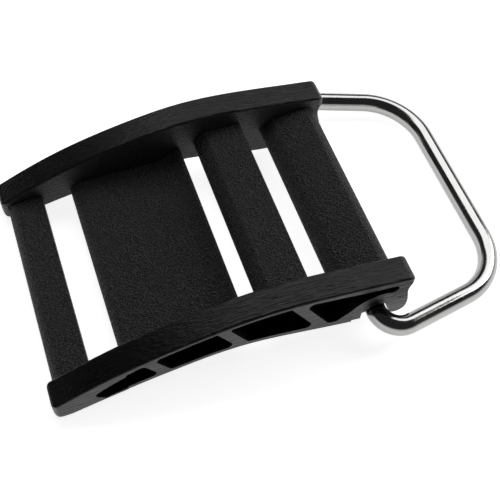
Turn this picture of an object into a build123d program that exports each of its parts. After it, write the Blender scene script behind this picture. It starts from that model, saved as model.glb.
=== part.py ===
from build123d import *
import os
from math import asin, atan2, cos, degrees, hypot, radians, sin

# Cam-band buckle: one moulded frame that a two-inch strap is woven through,
# and one closed wire ring that snaps into a hook at the end of each rail.
# The frame is drawn in its own section plane (x along the strap, z up, zero
# at the toes) and mirrored across it. Both pieces are then set down the way
# the buckle lies: on its toes and on the far bar of the ring.

# ---- driving dimensions, in millimetres and degrees ----
CLEAR_WIDTH = 52.5        # between the rails, for 50.8 mm webbing
RAIL_THICKNESS = 7.0
WEB_THICKNESS = 2.4       # wall left behind the lightening pockets
STEP_DEPTH = 0.25         # how far the top flange stands proud of the ribs
STEP_DROP = 1.1           # height of the top flange at that step
TOE_RADIUS = 2.2
RAIL_ROUND = 0.5          # outline edges of the rails
POCKET_CORNER = 1.35

WIRE_DIAMETER = 5.2
WIRE_CLEARANCE = 0.06     # radial, in the snap hooks
AXLE_X = 81.5
AXLE_Z = 3.7
RING_DROOP = 8.3          # the ring points this far below the base line
RING_LENGTH = 38.7        # axle to far bar, centre to centre
AXLE_HALF = 39.7          # half width of the ring at the axle
BAR_HALF = 31.2           # half width of the ring at the far bar
AXLE_BEND = 5.8
BAR_BEND = 16.6

BOSS_RADIUS = 8.8         # solid material around each snap hook
BEND_RELIEF = 3.4         # wider mouth on the outer side, for the wire's bend
MOUTH = 4.9               # snap opening, narrower than the wire
JAW_RADIUS = 2.4          # rounded tip of the hook's outer jaw
JAW_X = 87.5
NECK_Z = 5.0
NOSE_RADIUS = 2.3
NOSE_CENTRE = (88.0, 14.3)
END_RADIUS = 1.1
END_CORNER = 1.6          # rail ends, seen from above
PLAN_FLOOR = -20.0        # the plan block reaches well below and above a rail
PLAN_HEIGHT = 60.0

RIB_WIDTH = 2.7
RIB_LEAN = 29.0           # from upright, foot towards the ring
RIB_REACH = 30.0          # longer than any pocket is high
RIB_MIDDLES = [(25.1, 11.0), (43.4, 14.3), (63.2, 12.3)]

INNER = CLEAR_WIDTH / 2
OUTER = INNER + RAIL_THICKNESS
WEB = INNER + WEB_THICKNESS
HOOK_ROOT = (77.4, 2.2)   # where the skirt ends, left of the hook
DISH_RADIUS = 6.8         # shallow dish in the outer face around the hook
DISH_DEPTH = 0.6
DISH_TOP = 7.5            # the dish runs out over the jaw below this height
DISH_END = 95.0
DISH_FLOOR = -2.0
HOOK_FLARE = 1.6          # web thickness kept behind the bend relief
MOUTH_RUN = 10.0          # the mouth is cut this far down from the axle
BAR_BITE = 0.5            # the cross bars run this far into the rails
APRON_BITE = 1.5          # the apron runs this far up behind the skirt
OVERCUT = 1.0             # cuts run this far past the face they open

# The rail's top rises from the toe, rounds over the middle and runs nearly
# straight down to the hook. Its outer skirt and its inner web end at
# different heights underneath.
RAIL_TOP = [(18.0, 13.8), (35.0, 18.3), (52.5, 20.6), (66.0, 19.8)]
SKIRT_FOOT = [HOOK_ROOT, (57.5, 6.5), (46.0, 8.2), (31.0, 6.7), (16.0, 3.4), (4.2, 0.1)]
WEB_FOOT = [(77.4, 0.6), (63.0, 3.0), (51.0, 5.6), (36.0, 5.6), (18.0, 3.2), (4.2, 0.05)]
FLANGE_END = (87.0, 16.7)

# The lightening pockets lie between these two curves.
POCKET_TOP = [(9.6, 6.2), (18.0, 11.2), (28.0, 15.2), (46.0, 19.0), (55.0, 19.3), (64.0, 18.2),
              (86.0, 14.6)]
POCKET_FOOT = [(70.5, 5.6), (59.0, 7.7), (46.0, 9.5), (31.0, 8.0), (20.0, 5.7), (12.4, 3.4)]


def slab(figure, start, end):
    """Section figure given thickness from y = start to y = end."""
    return Pos(0, start, 0) * extrude(Plane.XZ * figure, start - end)


def rounded_slab(figure, end):
    """Section figure from the inner face to y = end, with its outline rounded."""
    block = slab(figure, INNER, end)
    flanks = [face for face in block.faces() if abs(face.normal_at().Y) > 0.99]
    return fillet([edge for face in flanks for edge in face.edges()], RAIL_ROUND)


def both_sides(solid):
    """The solid and its mirror image across the strap's middle line."""
    return solid + mirror(solid, Plane.XZ)


def rail_figure():
    """Rail outline: toe, top curve, nose, hook jaw and underside."""
    jaw_in = JAW_X - JAW_RADIUS
    jaw_out = JAW_X + JAW_RADIUS
    end = CenterArc((END_RADIUS, 5.2), END_RADIUS, 117, 63)
    nose = CenterArc(NOSE_CENTRE, NOSE_RADIUS, 0, 82)
    return make_face([
        end,
        Spline(end @ 0, *RAIL_TOP, nose @ 1, tangents=[end % 0 * -1, nose % 1 * -1]),
        nose,
        Spline(nose @ 0, (89.0, 10.2), (jaw_out, 5.4), (jaw_out, JAW_RADIUS)),
        CenterArc((JAW_X, JAW_RADIUS), JAW_RADIUS, 180, 180),
        Polyline((jaw_in, JAW_RADIUS), (jaw_in, NECK_Z), (HOOK_ROOT[0], NECK_Z), HOOK_ROOT),
        Spline(*SKIRT_FOOT),
        Line(SKIRT_FOOT[-1], (TOE_RADIUS, 0)),
        CenterArc((TOE_RADIUS, TOE_RADIUS), TOE_RADIUS, 180, 90),
        Line((0, TOE_RADIUS), end @ 1),
    ])


def apron_figure():
    """Lower part of a rail's inner web, which hangs below the outer skirt."""
    top = [(x, z + APRON_BITE) for x, z in reversed(SKIRT_FOOT)]
    return make_face([
        Spline(*WEB_FOOT),
        Line(WEB_FOOT[-1], top[0]),
        Spline(*top),
        Line(top[-1], WEB_FOOT[0]),
    ])


def pocket_figure():
    """The pockets in a rail's outer face, left between slanted ribs."""
    field = make_face([
        Spline(*POCKET_TOP),
        Polyline(POCKET_TOP[-1], (86.2, 10.6), (76.0, 10.0), POCKET_FOOT[0]),
        Spline(*POCKET_FOOT),
        Line(POCKET_FOOT[-1], POCKET_TOP[0]),
    ])
    for x, z in RIB_MIDDLES:
        field -= Pos(x, z) * Rot(0, 0, RIB_LEAN) * Rectangle(RIB_WIDTH, RIB_REACH)
    field -= Pos(AXLE_X, AXLE_Z) * Circle(BOSS_RADIUS)
    return fillet(field.vertices(), POCKET_CORNER)


def left_bar():
    """Flat bar at the toes, with a rounded leading edge."""
    return make_face([
        Polyline((3.4, 5.7), (10.7, 6.2), (10.9, 3.4), (4.5, 1.0), (2.6, 0.9)),
        Spline((2.6, 0.9), (1.5, 2.4), (1.9, 4.4), (3.4, 5.7)),
    ])


def wide_plate():
    """Level plate between the first two slots, with a raised lip at its far edge."""
    lip = CenterArc((48.4, 10.6), 0.55, 0, 120)
    return make_face([
        Spline((21.0, 7.8), (30.0, 7.8), (39.0, 7.9), (45.0, 8.8), lip @ 1),
        lip,
        Polyline(lip @ 0, (48.95, 5.6), (34.0, 4.9), (19.6, 4.0)),
        Spline((19.6, 4.0), (18.4, 4.6), (18.9, 6.3), (21.0, 7.8)),
    ])


def middle_bar():
    """Raised bar between the second and third slots, with a sloped left flank."""
    return make_face([
        Polyline((56.0, 14.8), (65.3, 15.1), (65.8, 14.6), (65.8, 11.2), (65.2, 10.7), (53.6, 10.2)),
        Spline((53.6, 10.2), (52.85, 10.9), (53.9, 13.1), (56.0, 14.8)),
    ])


def end_bar():
    """Bar over the ring's axle, rising towards a rounded outer edge."""
    return make_face([
        Spline((75.4, 12.9), (80.0, 13.8), (84.4, 14.4)),
        Spline((84.4, 14.4), (86.6, 13.0), (87.8, 9.4)),
        Polyline((87.8, 9.4), (87.2, 8.7), (72.6, 8.3)),
        Spline((72.6, 8.3), (71.8, 9.0), (72.9, 11.3), (75.4, 12.9)),
    ])


def step_figure():
    """Region below the top flange where the rail's face is set back."""
    edge = Spline(*[(x, z - STEP_DROP) for x, z in RAIL_TOP + [FLANGE_END]])
    return make_face([edge, Polyline(edge @ 1, (95, 14), (95, -5), (18, -5), edge @ 0)])


def plan_outline():
    """Tall block whose plan is a rail with rounded ends."""
    length = NOSE_CENTRE[0] + NOSE_RADIUS
    plan = RectangleRounded(length, RAIL_THICKNESS, END_CORNER)
    return Pos(length / 2, (INNER + OUTER) / 2, PLAN_FLOOR) * extrude(plan, PLAN_HEIGHT)


def snap_hook():
    """Round seat for the wire, with its mouth and the relief for the bend."""
    seat = Circle(WIRE_DIAMETER / 2 + WIRE_CLEARANCE)
    below = Pos(0, -MOUTH_RUN / 2)
    mouth = below * Rectangle(MOUTH, MOUTH_RUN)
    relief = Circle(BEND_RELIEF) + below * Rectangle(2 * BEND_RELIEF, MOUTH_RUN)
    at_axle = Pos(AXLE_X, AXLE_Z)
    inside = slab(at_axle * (seat + mouth), INNER - OVERCUT, OUTER + OVERCUT)
    return inside + slab(at_axle * relief, WEB + HOOK_FLARE, OUTER + OVERCUT)


def dish_figure():
    """Region around the hook and over the jaw where the outer face is set back."""
    run = DISH_END - AXLE_X
    rise = DISH_TOP - DISH_FLOOR
    over_jaw = Pos(AXLE_X + run / 2, DISH_FLOOR + rise / 2) * Rectangle(run, rise)
    return Pos(AXLE_X, AXLE_Z) * Circle(DISH_RADIUS) + over_jaw


def rail():
    """One side rail: inner web, pocketed outer part and snap hook."""
    body = rounded_slab(rail_figure(), OUTER) + slab(apron_figure(), INNER, WEB)
    body &= plan_outline()
    body -= slab(pocket_figure(), WEB, OUTER + OVERCUT)
    body -= slab(step_figure(), OUTER - STEP_DEPTH, OUTER + OVERCUT)
    body -= slab(dish_figure(), OUTER - DISH_DEPTH, OUTER + OVERCUT)
    return body - snap_hook()


def buckle_frame():
    """The moulded frame: two rails joined by four cross bars."""
    frame = both_sides(rail())
    for figure in (left_bar(), wide_plate(), middle_bar(), end_bar()):
        frame += slab(figure, -INNER - BAR_BITE, INNER + BAR_BITE)
    return frame


def wire_ring():
    """Closed wire loop: axle, two arms that draw together, and the far bar."""
    corners = [(0, -AXLE_HALF), (RING_LENGTH, -BAR_HALF), (RING_LENGTH, BAR_HALF), (0, AXLE_HALF)]
    bends = [AXLE_BEND, BAR_BEND, BAR_BEND, AXLE_BEND]
    path = FilletPolyline(*corners, radius=bends, close=True)
    start = Plane(path @ 0, z_dir=path % 0)
    loop = sweep(start * Circle(WIRE_DIAMETER / 2), path=path)
    return Pos(AXLE_X, 0, AXLE_Z) * Rot(0, RING_DROOP, 0) * loop


def set_down(pieces):
    """Tip the pieces so that toes and far bar touch the ground, and centre them."""
    bar_x = AXLE_X + RING_LENGTH * cos(radians(RING_DROOP))
    bar_z = AXLE_Z - RING_LENGTH * sin(radians(RING_DROOP))
    run = bar_x - TOE_RADIUS
    fall = bar_z - TOE_RADIUS
    grow = WIRE_DIAMETER / 2 - TOE_RADIUS
    tip = atan2(fall, run) - asin(grow / hypot(run, fall))
    tipped = [Rot(0, degrees(tip), 0) * piece for piece in pieces]
    box = Compound(tipped).bounding_box()
    move = Pos(-(box.min.X + box.max.X) / 2, 0, -box.min.Z)
    return [move * piece for piece in tipped]


os.makedirs("parts", exist_ok=True)
nodes = ["buckle_frame", "wire_ring"]
for node, piece in zip(nodes, set_down([buckle_frame(), wire_ring()])):
    export_step(piece, f"parts/{node}.step")
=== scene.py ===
import bpy
from math import cos, radians, sin
from mathutils import Matrix, Vector


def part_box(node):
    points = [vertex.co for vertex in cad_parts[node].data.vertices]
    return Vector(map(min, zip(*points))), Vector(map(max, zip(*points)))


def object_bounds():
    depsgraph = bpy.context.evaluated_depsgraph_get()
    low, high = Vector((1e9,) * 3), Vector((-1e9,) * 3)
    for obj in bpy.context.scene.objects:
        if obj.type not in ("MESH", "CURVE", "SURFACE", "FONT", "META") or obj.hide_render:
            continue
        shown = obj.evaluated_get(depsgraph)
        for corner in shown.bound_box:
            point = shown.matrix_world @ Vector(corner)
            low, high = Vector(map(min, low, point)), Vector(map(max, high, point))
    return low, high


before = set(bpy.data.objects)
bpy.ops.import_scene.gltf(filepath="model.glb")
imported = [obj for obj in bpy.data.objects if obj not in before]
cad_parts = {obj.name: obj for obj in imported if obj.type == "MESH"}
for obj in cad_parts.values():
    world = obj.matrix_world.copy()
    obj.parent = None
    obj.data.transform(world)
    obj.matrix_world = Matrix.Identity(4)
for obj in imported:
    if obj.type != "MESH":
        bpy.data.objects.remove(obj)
cad_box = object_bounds()

# All lengths are in metres, in the frame's own axes: +X towards the ring,
# +Y across the strap, +Z up.

# ---- camera ----
AZIMUTH = 24.86           # degrees, from +Y towards +X
ELEVATION = 57.26
ROLL = 6.36
DISTANCE = 0.2275         # from the aim point
LENS = 63.6               # millimetres
SENSOR = 36               # millimetres
CLIP_START = 0.01
AIM = Vector((-0.0037, -0.0062, 0.0064))

# ---- soft boxes: place, size and watts ----
OVERHEAD_AT = (0.24, 0.40, 0.60)
OVERHEAD_SIZE = (0.92, 0.46)
OVERHEAD_WATTS = 3.2
SIDE_AT = (0.85, 0.10, 0.55)
SIDE_SIZE = (0.5, 0.5)
SIDE_WATTS = 3.6
SIDE_AIM = (0, 0, 0.01)

# ---- floor and room ----
FLOOR_SIZE = 6
FLOOR_TONE = 0.80
FLOOR_ROUGHNESS = 0.9
FLOOR_GLOW = 0.84         # keeps the floor white under the dim boxes
HORIZON_TOP = 0.10        # sine of the elevation where the pale band ends
DIM_FROM = 0.30           # sine of the elevation where the room is fully dim
HORIZON_GLOW = 1.0
ROOM_GLOW = 0.035

# ---- grain sizes on the moulding ----
PEBBLE = 0.00042
FINE_GRAIN = 0.00025
DRAW_LINE = 0.00045       # width of the rails' lengthwise lines
CLOUD = 0.009
SCUFF = 0.0011
RELIEF = 0.0018           # bump height for a full step of grain
DRAW_RELIEF = 0.09        # share of that height on the rails

# ---- grain sizes on the wire ----
WIRE_LINE = 0.0002
WIRE_RELIEF = 0.000006
HAZE = 0.006
MARK = 0.0009

# ---- tones and gloss ----
BAR_TONE = 0.0165
RAIL_TONE = 0.0015
PEBBLE_TONE = 0.085       # tops of the pebbles
CLOUD_TONE = 0.010
# painted highlight: paler tone laid on the moulding's convex edges
EDGE_HIGHLIGHT_TONE = 0.040
NYLON_IOR = 1.30
STEEL_WARMTH = 0.01
STEEL_TONES = (0.31, 0.42)

# ---- where the finish changes on the moulding ----
RAIL_WIDTH = 0.007
RAIL_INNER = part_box("buckle_frame")[1][1] - RAIL_WIDTH
RAIL_FADE = (RAIL_INNER - 0.0003, RAIL_INNER + 0.0001)


# ---------------------------------------------------------------- node helpers
class Nodes:
    """Short way to add and join the shader nodes of one material."""

    def __init__(self, name):
        self.material = bpy.data.materials.new(name)
        self.material.use_nodes = True
        self.tree = self.material.node_tree
        self.shader = self.tree.nodes["Principled BSDF"]
        self.place = self.add("ShaderNodeTexCoord").outputs["Object"]

    def add(self, kind, **settings):
        """New node with its settings."""
        node = self.tree.nodes.new(kind)
        for key, value in settings.items():
            setattr(node, key, value)
        return node

    def put(self, socket, value):
        """Links a socket into an input, or sets the input to a constant."""
        if isinstance(value, bpy.types.NodeSocket):
            self.tree.links.new(value, socket)
        else:
            socket.default_value = value

    def math(self, operation, *values):
        """Arithmetic on sockets and numbers."""
        node = self.add("ShaderNodeMath", operation=operation)
        for socket, value in zip(node.inputs, values):
            self.put(socket, value)
        return node.outputs[0]

    def ramp(self, value, low, high, out_low=0.0, out_high=1.0):
        """Smooth step of a value from one range to another."""
        node = self.add("ShaderNodeMapRange", interpolation_type="SMOOTHSTEP")
        for socket, number in zip(node.inputs, (value, low, high, out_low, out_high)):
            self.put(socket, number)
        return node.outputs[0]

    def stretched(self, scale):
        """Object coordinates with their own scale along each axis."""
        node = self.add("ShaderNodeMapping")
        self.put(node.inputs["Vector"], self.place)
        node.inputs["Scale"].default_value = scale
        return node.outputs["Vector"]

    def noise(self, size, detail=2.0, rough=0.5, scale=(1, 1, 1)):
        """Noise whose lumps are about `size` metres across."""
        node = self.add("ShaderNodeTexNoise")
        self.put(node.inputs["Vector"], self.stretched(scale))
        node.inputs["Scale"].default_value = 1 / size
        node.inputs["Detail"].default_value = detail
        node.inputs["Roughness"].default_value = rough
        return node.outputs["Fac"]

    def cells(self, size):
        """Distance to the nearest grain of a pebbled surface."""
        node = self.add("ShaderNodeTexVoronoi", feature="SMOOTH_F1")
        self.put(node.inputs["Vector"], self.place)
        node.inputs["Scale"].default_value = 1 / size
        node.inputs["Smoothness"].default_value = 0.6
        return node.outputs["Distance"]

    def blend(self, kind, factor, one, other):
        """One value at factor 0 and the other at factor 1."""
        node = self.add("ShaderNodeMix", data_type=kind)
        self.put(node.inputs["Factor"], factor)
        self.put(node.inputs["A"], one)
        self.put(node.inputs["B"], other)
        return node.outputs["Result"]

    def mix(self, factor, one, other):
        """Blend of two numbers."""
        return self.blend("FLOAT", factor, one, other)

    def tint(self, factor, one, other):
        """Blend of two colours."""
        return self.blend("RGBA", factor, one, other)

    def bump(self, height, depth):
        """Bump from a 0 to 1 height that stands `depth` metres high."""
        node = self.add("ShaderNodeBump")
        node.inputs["Distance"].default_value = depth
        self.put(node.inputs["Height"], height)
        return node.outputs["Normal"]


def grey(level, warmth=0.0):
    """Grey of that linear level, with a little more red than blue if warm."""
    return (level * (1 + warmth), level, level * (1 - warmth), 1)


# ------------------------------------------------------------------- materials
def moulded_nylon():
    """Black moulding: pebbled cross bars between satin rails with lengthwise lines."""
    n = Nodes("black_nylon")
    axes = n.add("ShaderNodeSeparateXYZ")
    n.put(axes.inputs[0], n.place)
    across = n.math("ABSOLUTE", axes.outputs["Y"])
    on_rail = n.ramp(across, *RAIL_FADE)

    pebble = n.cells(PEBBLE)
    fine = n.noise(FINE_GRAIN, detail=3, rough=0.6)
    grain = n.math("ADD", n.math("MULTIPLY", pebble, 0.9), n.math("MULTIPLY", fine, 0.6))
    draw = n.noise(DRAW_LINE, detail=2, scale=(0.06, 1, 1))
    cloud = n.noise(CLOUD, detail=3, rough=0.6)
    scuff = n.ramp(n.noise(SCUFF, detail=4, rough=0.7, scale=(0.35, 1, 1)), 0.60, 0.78)

    height = n.mix(on_rail, grain, n.math("MULTIPLY", draw, DRAW_RELIEF))
    n.put(n.shader.inputs["Normal"], n.bump(height, RELIEF))

    # Pebble tops are paler on the bars only; the moulding's convex edges are tinted paler as
    # a painted highlight.
    base = n.tint(on_rail, grey(BAR_TONE), grey(RAIL_TONE))
    pebble_top = n.math("MULTIPLY", n.ramp(grain, 0.35, 0.95), n.mix(on_rail, 0.75, 0.0))
    base = n.tint(pebble_top, base, grey(PEBBLE_TONE))
    base = n.tint(n.math("MULTIPLY", cloud, 0.20), base, grey(CLOUD_TONE))
    # Painted highlight: convex edges, found by pointiness, are tinted paler.
    edge = n.ramp(n.add("ShaderNodeNewGeometry").outputs["Pointiness"], 0.505, 0.56)
    base = n.tint(n.math("MULTIPLY", edge, 0.18), base, grey(EDGE_HIGHLIGHT_TONE))
    n.put(n.shader.inputs["Base Color"], base)

    rail_rough = n.ramp(cloud, 0.25, 0.75, 0.26, 0.36)
    rail_rough = n.math("ADD", rail_rough, n.math("MULTIPLY", scuff, 0.04))
    bar_rough = n.ramp(grain, 0.3, 0.9, 0.66, 0.52)
    n.put(n.shader.inputs["Roughness"], n.mix(on_rail, bar_rough, rail_rough))
    n.shader.inputs["IOR"].default_value = NYLON_IOR
    return n.material


def polished_wire():
    """Drawn and polished steel wire with faint lines and handling marks."""
    n = Nodes("ring_steel")
    lines = n.noise(WIRE_LINE, detail=2, scale=(0.08, 1, 1))
    haze = n.noise(HAZE, detail=4, rough=0.6)
    marks = n.ramp(n.noise(MARK, detail=3, rough=0.7), 0.64, 0.74)
    rough = n.math("ADD", n.ramp(haze, 0.3, 0.7, 0.09, 0.17), n.math("MULTIPLY", marks, 0.10))
    dark, light = (grey(tone, STEEL_WARMTH) for tone in STEEL_TONES)
    n.put(n.shader.inputs["Roughness"], rough)
    n.put(n.shader.inputs["Base Color"], n.tint(haze, dark, light))
    n.put(n.shader.inputs["Normal"], n.bump(lines, WIRE_RELIEF))
    n.shader.inputs["Metallic"].default_value = 1.0
    return n.material


def pale_floor():
    """Matt white floor with some glow of its own, like a light table."""
    n = Nodes("floor_white")
    n.shader.inputs["Base Color"].default_value = grey(FLOOR_TONE)
    n.shader.inputs["Roughness"].default_value = FLOOR_ROUGHNESS
    n.shader.inputs["Emission Color"].default_value = grey(1.0)
    n.shader.inputs["Emission Strength"].default_value = FLOOR_GLOW
    return n.material


# --------------------------------------------------------------- camera, studio
def place_camera():
    """Camera above the toe end, looking over the near rail."""
    turn, rise = radians(AZIMUTH), radians(ELEVATION)
    forward = Vector((sin(turn) * cos(rise), cos(turn) * cos(rise), -sin(rise)))
    data = bpy.data.cameras.new("camera")
    data.lens = LENS
    data.sensor_width = SENSOR
    data.clip_start = CLIP_START
    camera = bpy.data.objects.new("camera", data)
    bpy.context.scene.collection.objects.link(camera)
    facing = forward.to_track_quat("-Z", "Y").to_matrix()
    roll = Matrix.Rotation(radians(ROLL), 3, "Z")
    at = Matrix.Translation(AIM - forward * DISTANCE)
    camera.matrix_world = at @ (facing @ roll).to_4x4()
    bpy.context.scene.camera = camera


def area_light(name, at, size, watts, aim=None):
    """Rectangular soft box that faces straight down, or the aim point if given."""
    data = bpy.data.lights.new(name, "AREA")
    data.shape = "RECTANGLE"
    data.size, data.size_y = size
    data.energy = watts
    lamp = bpy.data.objects.new(name, data)
    bpy.context.scene.collection.objects.link(lamp)
    lamp.location = at
    if aim is not None:
        facing = Vector(aim) - Vector(at)
        lamp.rotation_euler = facing.to_track_quat("-Z", "Y").to_euler()


def dim_room():
    """World that is pale along the horizon and dim overhead."""
    world = bpy.data.worlds.new("studio")
    world.use_nodes = True
    tree = world.node_tree
    place = tree.nodes.new("ShaderNodeTexCoord")
    axes = tree.nodes.new("ShaderNodeSeparateXYZ")
    rise = tree.nodes.new("ShaderNodeMapRange")
    tree.links.new(place.outputs["Generated"], axes.inputs[0])
    tree.links.new(axes.outputs["Z"], rise.inputs["Value"])
    rise.inputs["From Min"].default_value = HORIZON_TOP
    rise.inputs["From Max"].default_value = DIM_FROM
    rise.inputs["To Min"].default_value = HORIZON_GLOW
    rise.inputs["To Max"].default_value = ROOM_GLOW
    background = tree.nodes["Background"]
    background.inputs["Color"].default_value = (1, 1, 1, 1)
    tree.links.new(rise.outputs["Result"], background.inputs["Strength"])
    return world


def build_studio():
    """Pale floor under soft boxes, in a dim room."""
    bpy.ops.mesh.primitive_plane_add(size=FLOOR_SIZE)
    floor = bpy.context.object
    floor.name = "floor"
    floor.location = (0, 0, cad_box[0][2])
    floor.data.materials.append(pale_floor())
    bpy.context.scene.world = dim_room()
    area_light("overhead_box", OVERHEAD_AT, OVERHEAD_SIZE, OVERHEAD_WATTS)
    area_light("side_box", SIDE_AT, SIDE_SIZE, SIDE_WATTS, aim=SIDE_AIM)
    bpy.context.scene.view_settings.view_transform = "Standard"


def dress(node, material):
    """Gives a carried-over CAD piece its finish."""
    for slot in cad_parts[node].material_slots:
        slot.material = material


dress("buckle_frame", moulded_nylon())
dress("wire_ring", polished_wire())
place_camera()
build_studio()
